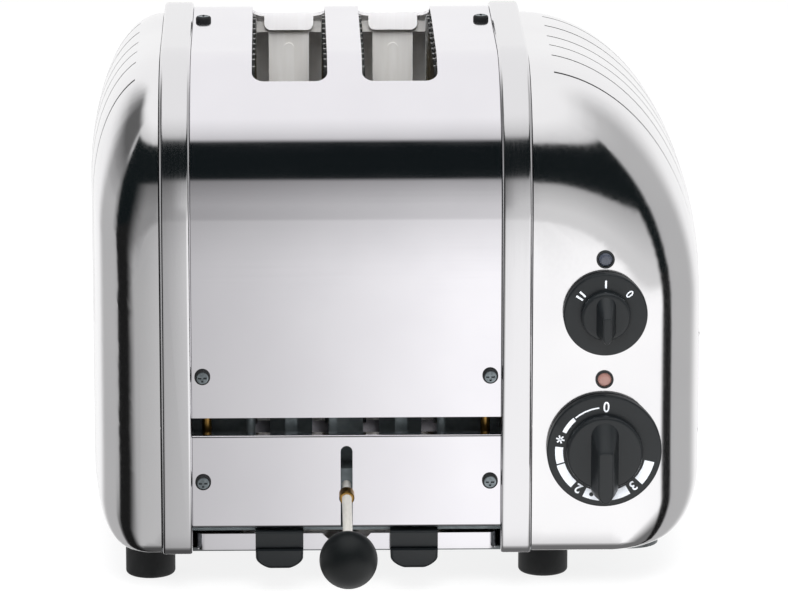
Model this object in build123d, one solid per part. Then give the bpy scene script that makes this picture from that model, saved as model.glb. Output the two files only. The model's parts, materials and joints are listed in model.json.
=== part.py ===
from build123d import *
import os
from collections import namedtuple
from math import cos, radians, sin, sqrt

# Two-slice toaster: a folded stainless body between two fluted aluminium end castings, with a lift lever
# at the front, a crumb tray below, and a selector and a timer on the wider right-hand end.
# Millimetres. X runs to the right, Y to the back, Z up, and the feet stand on Z = 0.
# Pieces are drawn about the middle of the body's depth, and moved by BODY_Y when they are written,
# because the lever reaches out at the front and the origin is the middle of the whole footprint.

# Body
WIDTH = 260.0                # over both end castings
BODY_DEPTH = 210.0           # front sheet to back sheet
BODY_TOP = 221.0
UNDERSIDE = 17.5             # lower edge of the body, bands and ends
SHOULDER = 60.0              # outer radius of the sheet over the front and back
SHEET = 1.2                  # thickness of the sheet pieces
SEAM = 0.2                   # joint between a band and the sheet
RUN_GAP = 0.3                # clearance between pieces that pass each other

# End castings
LEFT_END = 30.4              # width of the left end
RIGHT_END = 74.4             # width of the right end
END_SET_IN = 1.0             # how far the ends lie inside the sheet at front and back
END_DROP = 2.5               # how far their crest lies below the sheet
END_CROWN = 850.0            # radius of the bow of the outer sides, seen from above
END_WALL = 3.0
BAND = 12.6                  # width of a trim band
BAND_PROUD = 2.0             # how far a band stands out of the sheet
BAND_THICK = 5.0
BAND_EDGE = 1.6              # rounding of a band's outer edges
END_JOINT = 0.5              # joint between a band and an end casting
FLUTES = 7
FLUTE_PITCH = 21.0
FLUTE_WIDTH = 1.3
FLUTE_DEPTH = 1.0
FLUTE_LOW = 108.0            # height where the flutes end
FLUTE_INSET = 10.0           # from the casting's joint to the start of the flutes

# Bread slots
SLOT_PITCH = 46.0
SLOT_WIDTH = 31.5
SLOT_LENGTH = 148.0
SLOT_CORNER = 5.1
TAB_WIDTH = 21.6             # tongue folded down at each end of a slot
TAB_DROP = 7.7
TAB_CORNER = 3.0

# Front opening and lower panel
MOUTH_TOP = 76.9
PANEL_TOP = 69.3
PANEL_BOTTOM = 29.4
PANEL_FOLD = 5.0             # depth of its folded edges
LEVER_SLOT = 5.0
LEVER_SLOT_TOP = 64.6

# Chassis
PLATE = 1.5                  # base plate thickness
BASE_SET_IN = 11.0           # base plate behind the body's faces
BASE_LEFT = 15.0             # base plate inside the left end
BASE_RIGHT = 20.0            # base plate inside the right end
BASE_CORNER = 12.0
PLATE_Y = 77.0               # slot plates, inner face
PLATE_LOW = 26.0             # lowest edge of the slot plates, above the crumb tray
WINDOW_LOW = 60.0
WINDOW_TOP = 204.3
TONGUE = 17.8
RIB = 4.4
RIB_TOP = 199.5
RIB_PROUD = 0.8
LEDGE_TOP = 105.0            # underside of the upper guide ledge
LEDGE_DEPTH = 19.0

# Lift
LIFT_TRAVEL = 17.5
GUIDE_SPREAD = 79.8          # between the two guide rods
GUIDE_ROD = 3.8
GUIDE_Y = -92.0
BUSH = 8.0
BUSH_FLANGE = 10.0
BUSH_LENGTH = 9.0
BUSH_FIT = 0.12
CARRIAGE_Z = 46.0
CARRIAGE_THICK = 2.0
CARRIAGE_DEPTH = 13.0
CARRIAGE_OVERHANG = 6.5
UPRIGHT = 5.0
RACK_Z = 78.0
RACK_HEIGHT = 6.0
RACK_THICK = 2.0
RACK_BARS = 7
RACK_BAR_WIDTH = 20.0
RACK_BAR = 2.5
POST_SPREAD = 116.6          # between the two brass posts
POST = 4.0
LEVER_ROD = 4.0
LEVER_EXIT_Z = 44.6
LEVER_OUT = 60.0             # ball centre in front of the panel
LEVER_DROP = 11.6            # ball centre below the exit
BALL = 23.8
NUT = 6.4
NUT_LENGTH = 5.0

# Heating elements and guards
BOARD = 1.0
BOARD_LOW = 62.0
BOARD_HIGH = 196.0
BOARD_GAP = 7.0              # outer boards, from their guard wires
RIBBON = 2.0
RIBBON_THICK = 0.3
RIBBON_RUNS = 13
GUARD_WIRE = 1.6
GUARD_PITCH = 11.0
GUARD_WIRES = 13
GUARD_INSET = 0.7            # wires inside the slot's edge
GUARD_LOW = 64.0
GUARD_UNDER = 3.0            # tips below the sheet
GUARD_TIP = 4.5

# Crumb tray
TRAY_SHEET = 0.8
TRAY_HEIGHT = 7.0
TRAY_BACK = 88.0
TRAY_FRONT = -98.5
TRAY_SIDE_GAP = 1.3          # each side, to the chassis walls
NOTCH_CLEAR = 1.2            # finger notch, round the lever's ball
GRIP_WIDTH = 20.0
GRIP_SPREAD = 56.4
GRIP_TOP = 27.4
GRIP_LOW = 12.0
GRIP_OUT = 9.0

# Controls on the right end
CONTROL_X = 85.5
SELECTOR_Z = 121.2
TIMER_Z = 62.6
UPPER_LAMP_Z = 143.9
LOWER_LAMP_Z = 92.5
SELECTOR_SKIRT = 35.0
SELECTOR_BOSS = 20.6
SELECTOR_GRIP = 8.5
TIMER_SKIRT = 48.0
TIMER_BOSS = 31.8
TIMER_GRIP = 11.9
SKIRT_THICK = 4.0
BOSS_OUT = 4.0
GRIP_RISE = 9.0
KNOB_GAP = 0.5
SHAFT = 6.0
SHAFT_FIT = 0.35
LENS = 6.0
BEZEL = 7.6
SWITCH_SIZE = 26.0
TIMER_SIZE = 36.0
TIMER_DEPTH = 40.0
SWITCH_DEPTH = 28.0

# Feet, screws, mains entry
FOOT = 21.0
FOOT_RIGHT_X = 61.9
FOOT_LEFT_X = -105.0
FOOT_Y = 71.0
FOOT_HOLE = 5.0
SCREW_HEAD = 6.6
SCREW_HEIGHT = 2.2
SCREW_SHANK = 3.0
SCREW_LENGTH = 7.0
SCREW_INSET = 4.4            # screws in from the sheet's side edges
SCREW_HIGH_Z = 94.7
SCREW_LOW_Z = 49.3
TOP_SCREW_Y = 19.0
RECESS = 3.6
RECESS_WIDTH = 0.9
GLAND = 15.0
GLAND_NECK = 11.0
GLAND_BORE = 8.0
GLAND_OUT = 5.0
GLAND_X = 85.5
GLAND_Z = 42.0
COVER_HEIGHT = 47.0
COVER_LENGTH = 60.0
COVER_LOW = 48.0
COVER_THICK = 1.6
COVER_REBATE = 1.0
COVER_SCREW_Z = 41.0

# Worked out from the sizes above
HALF = BODY_DEPTH / 2
WRAP_LEFT = -WIDTH / 2 + LEFT_END + END_JOINT + BAND + SEAM
WRAP_RIGHT = WIDTH / 2 - RIGHT_END - END_JOINT - BAND - SEAM
MIDDLE = (WRAP_LEFT + WRAP_RIGHT) / 2
SLOTS = {"left": MIDDLE - SLOT_PITCH / 2, "right": MIDDLE + SLOT_PITCH / 2}
END_HALF = HALF - END_SET_IN
END_TOP = BODY_TOP - END_DROP
END_SHOULDER = SHOULDER - END_SET_IN
WALL_LEFT = WRAP_LEFT - SEAM - SHEET
WALL_RIGHT = WRAP_RIGHT + SEAM
BASE_TOP = UNDERSIDE
BASE_LOW = UNDERSIDE - PLATE
TRAY_LOW = BASE_TOP + RUN_GAP
PANEL_Y = -HALF
BALL_Y = PANEL_Y - LEVER_OUT
BALL_Z = LEVER_EXIT_Z - LEVER_DROP
FRONT_REACH = BALL_Y - BALL / 2
BACK_REACH = END_HALF + GLAND_OUT
BODY_Y = -(FRONT_REACH + BACK_REACH) / 2

# One end casting: width, corner radius seen from above, height of its arch at the middle and at the
# front, and the width and height of the curve at its foot
End = namedtuple("End", "width corner arch_mid arch_front foot_width foot_height")
LEFT = End(LEFT_END, 16.0, 55.0, 22.0, 15.0, 27.0)
RIGHT = End(RIGHT_END, 26.0, 98.5, 39.5, 20.0, 30.0)
STATION_ANGLES = (90, 84, 76, 67, 57, 46, 34, 18, 0)    # round the shoulder, front face to crest


def block(x0, x1, y0, y1, z0, z1):
    """A box between two corners."""
    return Pos((x0 + x1) / 2, (y0 + y1) / 2, (z0 + z1) / 2) * Box(abs(x1 - x0), abs(y1 - y0), abs(z1 - z0))


def rod_y(x, z, y0, y1, diameter):
    """A round bar along the depth."""
    return Pos(x, (y0 + y1) / 2, z) * Rot(90, 0, 0) * Cylinder(diameter / 2, abs(y1 - y0))


def rod_z(x, y, z0, z1, diameter):
    """A round upright bar."""
    return Pos(x, y, (z0 + z1) / 2) * Cylinder(diameter / 2, abs(z1 - z0))


def joined(pieces):
    """Pieces fused into one solid."""
    pieces = list(pieces)
    return pieces[0].fuse(*pieces[1:]) if len(pieces) > 1 else pieces[0]


def loaf(half_depth, top, shoulder, low, x0, x1):
    """The body's side outline, upright faces under round shoulders, as a solid from x0 to x1."""
    outline = Pos(0, (top + low) / 2) * Rectangle(2 * half_depth, top - low)
    outline = fillet(outline.vertices().sort_by(Axis.Y)[-2:], shoulder)
    return extrude(Plane.YZ.offset(x0) * outline, amount=x1 - x0)


def sheet_height(y, depth=0.0):
    """Height of the folded sheet's surface at y, or of a line depth below it."""
    over = max(abs(y) - (HALF - SHOULDER), 0.0)
    return BODY_TOP - SHOULDER + sqrt((SHOULDER - depth) ** 2 - over ** 2)


def hoop(x0, x1):
    """The space between a band's outer face and its hollow."""
    outer = loaf(HALF + BAND_PROUD, BODY_TOP + BAND_PROUD, SHOULDER + BAND_PROUD, UNDERSIDE, x0, x1)
    edges = outer.edges().filter_by(lambda edge: abs(edge.length - BAND) > 0.01)
    edges = edges.filter_by(lambda edge: edge.center().Z > UNDERSIDE + 0.01)
    outer = fillet(edges, BAND_EDGE)
    inset = BAND_PROUD - BAND_THICK
    return outer - loaf(HALF + inset, BODY_TOP + inset, SHOULDER + inset, UNDERSIDE - 1, x0, x1)


def end_slice(end, y, top, trim):
    """One upright slice of an end casting; X is measured outwards from its joint."""
    half = END_HALF - trim
    corner = end.corner - trim
    past = max(abs(y) - (half - corner), 0.0)
    reach = end.width - trim - y * y / (2 * END_CROWN) - (corner - sqrt(max(corner ** 2 - past ** 2, 0.0)))
    rise = (top + trim - (END_TOP - END_SHOULDER)) / END_SHOULDER
    arch = end.arch_front + (end.arch_mid - end.arch_front) * rise - trim
    spring = top - arch
    low = UNDERSIDE + trim
    share = reach / (end.width - trim)
    foot_w, foot_h = share * (end.foot_width - trim), share * (end.foot_height - trim)
    with BuildSketch(Plane.XZ.offset(-y)) as slice_face:
        with BuildLine():
            Line((0, low), (0, top))
            EllipticalCenterArc((0, spring), reach, arch, start_angle=0, arc_size=90)
            Line((reach, spring), (reach, low + foot_h))
            EllipticalCenterArc((reach - foot_w, low + foot_h), foot_w, foot_h, start_angle=270, arc_size=90)
            Line((reach - foot_w, low), (0, low))
        make_face()
    return slice_face.sketch.faces()[0]


def end_form(end, trim=0.0, angles=STATION_ANGLES, ruled=False):
    """The rounded block of an end casting, held trim inside its outer surface."""
    radius = END_SHOULDER - trim
    front = [(-(END_HALF - END_SHOULDER) - radius * sin(radians(a)), END_TOP - END_SHOULDER + radius * cos(radians(a)))
             for a in angles]
    middle = [(0.0, END_TOP - trim)]
    back = [(-y, top) for y, top in reversed(front)]
    return Solid.make_loft([end_slice(end, y, top, trim).outer_wire() for y, top in front + middle + back], ruled)


def end_shell(end):
    """An end casting: its form hollowed from the joint side, with the flutes cut round its crest."""
    hollow = Pos(-0.01, 0, 0) * end_form(end, END_WALL, angles=(90, 70, 45, 0), ruled=True)
    shell = end_form(end) - hollow
    core = end_form(end, FLUTE_DEPTH)
    first = -(FLUTES - 1) / 2 * FLUTE_PITCH
    bars = [block(FLUTE_INSET, end.width + 1, y - FLUTE_WIDTH / 2, y + FLUTE_WIDTH / 2, FLUTE_LOW, END_TOP + 1)
            for y in (first + i * FLUTE_PITCH for i in range(FLUTES))]
    flutes = [bar - core for bar in bars]
    for flute in flutes:
        shell = shell - flute
    return shell


def left_end_casting():
    shell = mirror(end_shell(LEFT), about=Plane.YZ)
    return Pos(-WIDTH / 2 + LEFT_END, 0, 0) * shell


def right_end_casting():
    shell = Pos(WIDTH / 2 - RIGHT_END, 0, 0) * end_shell(RIGHT)
    front = -END_HALF - 1
    for z in (SELECTOR_Z, TIMER_Z):
        shell -= rod_y(CONTROL_X, z, front, front + END_WALL + 2, SHAFT + 2 * SHAFT_FIT)
    for z in (UPPER_LAMP_Z, LOWER_LAMP_Z):
        shell -= rod_y(CONTROL_X, z, front, front + END_WALL + 2, LENS + 0.1)
    shell -= rod_y(GLAND_X, GLAND_Z, END_HALF - END_WALL - 1, END_HALF + 1, GLAND_NECK + 0.2)
    side = WIDTH / 2
    shell -= block(side - COVER_REBATE, side + 1, -COVER_LENGTH / 2 - 0.2, COVER_LENGTH / 2 + 0.2,
                   COVER_LOW - 0.2, COVER_LOW + COVER_HEIGHT + 0.2)
    shell -= Pos(side, 0, COVER_SCREW_Z) * Rot(0, 90, 0) * Cylinder(SCREW_SHANK / 2 + 0.1, 10)
    return shell


def body_wrap():
    """The folded sheet with the two bread slots, open at the front below the mouth."""
    shell = loaf(HALF, BODY_TOP, SHOULDER, UNDERSIDE, WRAP_LEFT, WRAP_RIGHT)
    shell -= loaf(HALF - SHEET, BODY_TOP - SHEET, SHOULDER - SHEET, UNDERSIDE - 1, WRAP_LEFT - 1, WRAP_RIGHT + 1)
    shell -= block(WRAP_LEFT - 1, WRAP_RIGHT + 1, -HALF - 1, -HALF + SHEET + 1, UNDERSIDE - 1, MOUTH_TOP)
    for x in SLOTS.values():
        punch = extrude(Plane.XY.offset(BODY_TOP - SHOULDER) * RectangleRounded(SLOT_WIDTH, SLOT_LENGTH, SLOT_CORNER),
                        amount=SHOULDER + 1)
        shell -= Pos(x, 0, 0) * punch
    lowest = sheet_height(SLOT_LENGTH / 2) - TAB_DROP
    tab = Pos(0, lowest / 2 + sheet_height(SLOT_LENGTH / 2 + SHEET, SHEET / 2) / 2) * Rectangle(
        TAB_WIDTH, sheet_height(SLOT_LENGTH / 2 + SHEET, SHEET / 2) - lowest)
    tab = fillet(tab.vertices().sort_by(Axis.Y)[:2], TAB_CORNER)
    for x in SLOTS.values():
        for y in (-SLOT_LENGTH / 2, SLOT_LENGTH / 2 + SHEET):
            shell += Pos(x, y, 0) * extrude(Plane.XZ * tab, amount=SHEET)
    for x in (WRAP_LEFT + SCREW_INSET, WRAP_RIGHT - SCREW_INSET):
        shell -= rod_y(x, SCREW_HIGH_Z, -HALF - 1, -HALF + SHEET + 1, SCREW_SHANK + 0.2)
        shell -= rod_y(x, SCREW_HIGH_Z, HALF - SHEET - 1, HALF + 1, SCREW_SHANK + 0.2)
        shell -= rod_y(x, SCREW_LOW_Z, HALF - SHEET - 1, HALF + 1, SCREW_SHANK + 0.2)
        shell -= rod_z(x, TOP_SCREW_Y, BODY_TOP - SHEET - 1, BODY_TOP + 1, SCREW_SHANK + 0.2)
    return shell


def lower_front_panel():
    """The panel below the mouth, with folded edges and the lever's slot open at its foot."""
    back = PANEL_Y + SHEET
    pieces = [
        block(WRAP_LEFT, WRAP_RIGHT, PANEL_Y, back, PANEL_BOTTOM, PANEL_TOP),
        block(WRAP_LEFT, WRAP_RIGHT, back, PANEL_Y + PANEL_FOLD, PANEL_BOTTOM, PANEL_BOTTOM + SHEET),
        block(WRAP_LEFT, WRAP_RIGHT, back, PANEL_Y + PANEL_FOLD, PANEL_TOP - SHEET, PANEL_TOP),
    ]
    panel = joined(pieces)
    outer = panel.edges().filter_by(Axis.X).filter_by(lambda edge: abs(edge.center().Y - PANEL_Y) < 0.01)
    panel = fillet(outer, 0.9 * SHEET)
    slot_x = MIDDLE
    top = LEVER_SLOT_TOP - LEVER_SLOT / 2
    panel -= block(slot_x - LEVER_SLOT / 2, slot_x + LEVER_SLOT / 2, PANEL_Y - 1, PANEL_Y + PANEL_FOLD + 1,
                   PANEL_BOTTOM - 1, top)
    panel -= rod_y(slot_x, top, PANEL_Y - 1, back + 1, LEVER_SLOT)
    for x in (WRAP_LEFT + SCREW_INSET, WRAP_RIGHT - SCREW_INSET):
        panel -= rod_y(x, SCREW_LOW_Z, PANEL_Y - 1, back + 1, SCREW_SHANK + 0.2)
    return panel


def chassis_wall(x0):
    """An inner side wall that fills a band's hollow and stands on the base plate."""
    inset = BAND_PROUD - BAND_THICK - RUN_GAP
    return loaf(HALF + inset, BODY_TOP + inset, SHOULDER + inset, BASE_TOP, x0, x0 + SHEET)


def slot_plate(front):
    """A plate across the toasting chamber: a tongue with a pressed rib behind each slot, windows beside it."""
    inner = PLATE_Y
    outer = PLATE_Y + SHEET
    top = sheet_height(outer, SHEET) - RUN_GAP
    left, right = WALL_LEFT + SHEET, WALL_RIGHT
    plate = block(left, right, inner, outer, PLATE_LOW, top)
    side = (SLOT_WIDTH - TONGUE) / 2
    for x in SLOTS.values():
        for sign in (-1, 1):
            edge = x + sign * TONGUE / 2
            plate -= block(min(edge, edge + sign * side), max(edge, edge + sign * side),
                           inner - 1, outer + 1, WINDOW_LOW, WINDOW_TOP)
        rib = Pos(0, (RACK_Z - 20 + RIB_TOP) / 2) * SlotOverall(RIB_TOP - RACK_Z + 20, RIB, rotation=90)
        if not front:
            plate += Pos(x, inner, 0) * extrude(Plane.XZ * rib, amount=RIB_PROUD)
    if front:
        plate = mirror(plate, about=Plane.XZ)
        high = RACK_Z + RACK_HEIGHT + LIFT_TRAVEL + 2
        rib = Pos(0, (high + 2 + RIB_TOP) / 2) * SlotOverall(RIB_TOP - high - 2, RIB, rotation=90)
        for x in SLOTS.values():
            plate += Pos(x, -inner + RIB_PROUD, 0) * extrude(Plane.XZ * rib, amount=RIB_PROUD)
            plate -= block(x - RACK_THICK / 2 - 0.5, x + RACK_THICK / 2 + 0.5, -outer - 1, -inner + 1,
                           RACK_Z - 2, high)
        for z in (PLATE_LOW, LEDGE_TOP):
            plate += block(left, right, -outer - LEDGE_DEPTH, -outer, z, z + SHEET)
        for x, diameter in FRONT_POSTS:
            for z in (PLATE_LOW, LEDGE_TOP):
                plate -= rod_z(x, GUIDE_Y, z - 1, z + SHEET + 1, diameter + 0.04)
    return plate


GUIDES = (MIDDLE - GUIDE_SPREAD / 2, MIDDLE + GUIDE_SPREAD / 2)
POSTS = (MIDDLE - POST_SPREAD / 2, MIDDLE + POST_SPREAD / 2)
FRONT_POSTS = [(x, GUIDE_ROD) for x in GUIDES] + [(x, POST) for x in POSTS]


def base_plate():
    """The plate that everything stands on, with holes for the feet."""
    outline = RectangleRounded(WIDTH - BASE_LEFT - BASE_RIGHT, BODY_DEPTH - 2 * BASE_SET_IN, BASE_CORNER)
    plate = extrude(Plane.XY.offset(BASE_LOW) * Pos((BASE_LEFT - BASE_RIGHT) / 2, 0) * outline, amount=PLATE)
    for x, y in FEET.values():
        plate -= rod_z(x, y, BASE_LOW - 1, BASE_TOP + 1, FOOT_HOLE + 0.2)
    return plate


FEET = {
    "front_left_foot": (FOOT_LEFT_X, -FOOT_Y),
    "front_right_foot": (FOOT_RIGHT_X, -FOOT_Y),
    "rear_left_foot": (FOOT_LEFT_X, FOOT_Y),
    "rear_right_foot": (FOOT_RIGHT_X, FOOT_Y),
}


def foot(x, y):
    """A rubber foot with a soft lower edge and a stem pressed into the base plate."""
    pad = Cylinder(FOOT / 2, BASE_LOW, align=(Align.CENTER, Align.CENTER, Align.MIN))
    pad = fillet(pad.edges().group_by(Axis.Z)[0], 1.5)
    stem = rod_z(0, 0, BASE_LOW, BASE_TOP, FOOT_HOLE)
    return Pos(x, y, 0) * (pad + stem)


def screw(height=SCREW_HEIGHT):
    """A pan-head screw along +Z, its head standing on Z = 0, with a cross recess."""
    head = extrude(Circle(SCREW_HEAD / 2), amount=height)
    head = fillet(head.edges().group_by(Axis.Z)[-1], 0.6 * height)
    cross = Box(RECESS, RECESS_WIDTH, height) + Box(RECESS_WIDTH, RECESS, height)
    shank = rod_z(0, 0, -SCREW_LENGTH, 0, SCREW_SHANK)
    return head + shank - Pos(0, 0, height) * cross


def panel_screws():
    """The screws that hold the sheet and the lower panel."""
    screws = []
    for x in (WRAP_LEFT + SCREW_INSET, WRAP_RIGHT - SCREW_INSET):
        for z in (SCREW_HIGH_Z, SCREW_LOW_Z):
            screws.append(Pos(x, -HALF, z) * Rot(90, 0, 0) * screw())
            screws.append(Pos(x, HALF, z) * Rot(-90, 0, 0) * screw())
        screws.append(Pos(x, TOP_SCREW_Y, BODY_TOP) * screw())
    return Compound(screws)


def cover_screw():
    return Pos(WIDTH / 2 + 0.01, 0, COVER_SCREW_Z) * Rot(0, 90, 0) * screw()


def service_cover():
    side = WIDTH / 2
    plate = Pos(side - COVER_REBATE + COVER_THICK / 2, 0, COVER_LOW + COVER_HEIGHT / 2) * Box(
        COVER_THICK, COVER_LENGTH, COVER_HEIGHT)
    return fillet(plate.edges().filter_by(Axis.X), 3.0)


BOARDS = {
    "left": SLOTS["left"] - SLOT_WIDTH / 2 + GUARD_INSET - BOARD_GAP,
    "centre": MIDDLE,
    "right": SLOTS["right"] + SLOT_WIDTH / 2 - GUARD_INSET + BOARD_GAP,
}


def element_board(x):
    """A mica board between the slot plates, notched along its upper corners for the arch."""
    length = 2 * (PLATE_Y - RUN_GAP)
    board = block(x - BOARD / 2, x + BOARD / 2, -length / 2, length / 2, BOARD_LOW, BOARD_HIGH)
    corners = board.edges().filter_by(Axis.X).group_by(Axis.Z)[-1]
    return chamfer(corners, 12)


def heater_ribbon(x, side):
    """A flat resistance ribbon laid to and fro over one face of a board."""
    length = 2 * (PLATE_Y - RUN_GAP) - 16
    step = (BOARD_HIGH - BOARD_LOW - 30) / (RIBBON_RUNS - 1)
    low = BOARD_LOW + 8
    runs = [Pos(0, low + i * step) * Rectangle(length, RIBBON) for i in range(RIBBON_RUNS)]
    turns = [Pos((length - RIBBON) / 2 * (1 if i % 2 else -1), low + (i + 0.5) * step) * Rectangle(RIBBON, step + RIBBON)
             for i in range(RIBBON_RUNS - 1)]
    flat = joined(runs + turns)
    start = x + BOARD / 2 if side > 0 else x - BOARD / 2 - RIBBON_THICK
    return extrude(Plane.YZ.offset(start) * flat, amount=RIBBON_THICK)


def bread_guard(slot_x, side):
    """Upright guard wires on one side of a slot, tied by two rails, with tips turned outwards."""
    x = slot_x + side * (SLOT_WIDTH / 2 - GUARD_INSET)
    hexagon = RegularPolygon(GUARD_WIRE / 2, 6)
    pieces = []
    for i in range(GUARD_WIRES):
        y = (i - (GUARD_WIRES - 1) / 2) * GUARD_PITCH
        top = sheet_height(y, SHEET) - GUARD_UNDER
        pieces.append(Pos(x, y, GUARD_LOW) * extrude(hexagon, amount=top - GUARD_LOW))
        tip = extrude(Plane.YZ * hexagon, amount=GUARD_TIP)
        pieces.append(Pos(x if side > 0 else x - GUARD_TIP, y, top - GUARD_WIRE / 2) * tip)
    for z in (GUARD_LOW + 8, WINDOW_TOP - 18):
        length = 2 * (PLATE_Y - RUN_GAP)
        pieces.append(block(x + side * GUARD_WIRE / 4, x + side * (GUARD_WIRE / 4 + 1.5), -length / 2, length / 2, z, z + 3))
    return joined(pieces)


def guide_rods():
    return Compound([rod_z(x, GUIDE_Y, PLATE_LOW, LEDGE_TOP + SHEET, GUIDE_ROD) for x in GUIDES])


def brass_posts():
    return Compound([rod_z(x, GUIDE_Y, PLATE_LOW, LEDGE_TOP + SHEET, POST) for x in POSTS])


def lift_carriage():
    """The cross plate that runs on the guide rods, with an upright for each rack and the lever's block."""
    y0, y1 = GUIDE_Y - CARRIAGE_DEPTH / 2, GUIDE_Y + CARRIAGE_DEPTH / 2
    top = CARRIAGE_Z + CARRIAGE_THICK
    pieces = [block(GUIDES[0] - CARRIAGE_OVERHANG, GUIDES[1] + CARRIAGE_OVERHANG, y0, y1, CARRIAGE_Z, top)]
    for x in SLOTS.values():
        pieces.append(block(x - UPRIGHT / 2, x + UPRIGHT / 2, GUIDE_Y - 1, GUIDE_Y + 1, top, RACK_Z + RACK_HEIGHT))
    pieces.append(block(MIDDLE - 5, MIDDLE + 5, y0, y1, CARRIAGE_Z - 4, top + 5))
    pieces.append(block(MIDDLE - 7, MIDDLE - 4, GUIDE_Y - 1, GUIDE_Y + 1, top, PANEL_TOP + 6))
    carriage = joined(pieces)
    for x in GUIDES:
        carriage -= rod_z(x, GUIDE_Y, CARRIAGE_Z - 1, top + 1, BUSH + 0.04)
    return carriage - lever_bar(LEVER_ROD + 0.1)


def lift_bush(x):
    """A flanged brass bush in the carriage, running on a guide rod."""
    top = CARRIAGE_Z + CARRIAGE_THICK
    bush = rod_z(x, GUIDE_Y, top + 2 - BUSH_LENGTH, top, BUSH)
    bush += rod_z(x, GUIDE_Y, top, top + 2, BUSH_FLANGE)
    return bush - rod_z(x, GUIDE_Y, top - BUSH_LENGTH, top + 3, GUIDE_ROD + 2 * BUSH_FIT)


def bread_rack(x):
    """A bar below a slot with cross bars that carry the slice."""
    back = PLATE_Y - RIB_PROUD - 2 * RUN_GAP
    top = RACK_Z + RACK_HEIGHT
    pieces = [block(x - RACK_THICK / 2, x + RACK_THICK / 2, GUIDE_Y + 1, back, RACK_Z, top)]
    step = (2 * back - 16) / (RACK_BARS - 1)
    for i in range(RACK_BARS):
        y = -back + 8 + i * step
        pieces.append(block(x - RACK_BAR_WIDTH / 2, x + RACK_BAR_WIDTH / 2, y - RACK_BAR / 2, y + RACK_BAR / 2,
                            top - 2, top + 1))
    return joined(pieces)


LEVER_SLOPE = LEVER_DROP / LEVER_OUT


def lever_point(y):
    """A point on the lever's centre line."""
    return Vector(MIDDLE, y, LEVER_EXIT_Z + (y - PANEL_Y) * LEVER_SLOPE)


def lever_bar(diameter, start=GUIDE_Y + 4, stop=BALL_Y):
    """A round bar along the lever's centre line."""
    a, b = lever_point(start), lever_point(stop)
    return Solid.make_cylinder(diameter / 2, (b - a).length, Plane(a, z_dir=b - a))


def lever_nut():
    """A round brass nut on the lever, just outside the panel."""
    nut = lever_bar(NUT, PANEL_Y - 1, PANEL_Y - 1 - NUT_LENGTH)
    nut = chamfer(nut.edges().filter_by(GeomType.CIRCLE), 0.5)
    return nut - lever_bar(LEVER_ROD + 0.04)


def lever_ball():
    ball = Pos(*lever_point(BALL_Y)) * Sphere(BALL / 2)
    return ball - lever_bar(LEVER_ROD + 0.04)


def crumb_tray():
    """A shallow tray with a turned-up edge, notched at the front to pass below the lever's ball."""
    left, right = WALL_LEFT + SHEET + TRAY_SIDE_GAP, WALL_RIGHT - TRAY_SIDE_GAP
    low, top = TRAY_LOW, TRAY_LOW + TRAY_HEIGHT
    tray = block(left, right, TRAY_FRONT, TRAY_BACK, low, top)
    tray = fillet(tray.edges().filter_by(Axis.Z), 4)
    inside = block(left + TRAY_SHEET, right - TRAY_SHEET, TRAY_FRONT + TRAY_SHEET, TRAY_BACK - TRAY_SHEET,
                   low + TRAY_SHEET, top + 1)
    tray -= fillet(inside.edges().filter_by(Axis.Z), 4 - TRAY_SHEET)
    return tray - rod_y(MIDDLE, BALL_Z, TRAY_FRONT - 1, TRAY_FRONT + TRAY_SHEET + 4, BALL + 2 * NOTCH_CLEAR)


def tray_grip(x):
    """A moulded finger grip on the tray's front: a square head over a rounded lip."""
    back = TRAY_FRONT
    front = back - GRIP_OUT
    middle = TRAY_LOW + 2
    head = block(x - GRIP_WIDTH / 2, x + GRIP_WIDTH / 2, front + 3, back, middle, GRIP_TOP)
    head = fillet(head.edges().filter_by(Axis.X).sort_by(Axis.Y)[:2], 1.0)
    lip = block(x - GRIP_WIDTH / 2, x + GRIP_WIDTH / 2, front, back, GRIP_LOW, middle)
    lip = fillet(lip.edges().filter_by(Axis.Y).group_by(Axis.Z)[0], 4.5)
    lip = fillet(lip.edges().filter_by(Axis.X).sort_by(Axis.Y)[0], 1.5)
    return head + lip


def knob(z, skirt, boss, grip, reach_up, reach_down):
    """A dial knob: a flat skirt, a raised round boss, and a grip bar across it with rounded ends."""
    face = -END_HALF - KNOB_GAP
    disc = rod_y(CONTROL_X, z, face, face - SKIRT_THICK, skirt)
    disc = fillet(disc.edges().group_by(Axis.Y)[0], 0.8)
    hub = rod_y(CONTROL_X, z, face - SKIRT_THICK, face - SKIRT_THICK - BOSS_OUT, boss)
    hub = fillet(hub.edges().group_by(Axis.Y)[0], 1.5)
    bar = Pos(0, (reach_up - reach_down) / 2) * SlotOverall(reach_up + reach_down, grip, rotation=90)
    outline = Plane.XZ.offset(-(face - SKIRT_THICK)) * bar
    bar = Pos(CONTROL_X, 0, z) * extrude(outline, amount=BOSS_OUT + GRIP_RISE, taper=3)
    bar = fillet(bar.edges().group_by(Axis.Y)[0], 1.2)
    whole = disc + hub + bar
    return whole - rod_y(CONTROL_X, z, face + 1, face - SKIRT_THICK - BOSS_OUT, SHAFT + 0.04)


def selector_knob():
    return knob(SELECTOR_Z, SELECTOR_SKIRT, SELECTOR_BOSS, SELECTOR_GRIP, SELECTOR_BOSS * 0.42, SELECTOR_BOSS / 2)


def timer_knob():
    return knob(TIMER_Z, TIMER_SKIRT, TIMER_BOSS, TIMER_GRIP, TIMER_BOSS * 0.42, TIMER_SKIRT * 0.42)


def control_shaft(z):
    """A shaft from a switch to its knob."""
    back = -END_HALF + END_WALL + 1
    return rod_y(CONTROL_X, z, back, -END_HALF - KNOB_GAP - SKIRT_THICK - BOSS_OUT + 1, SHAFT)


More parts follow.
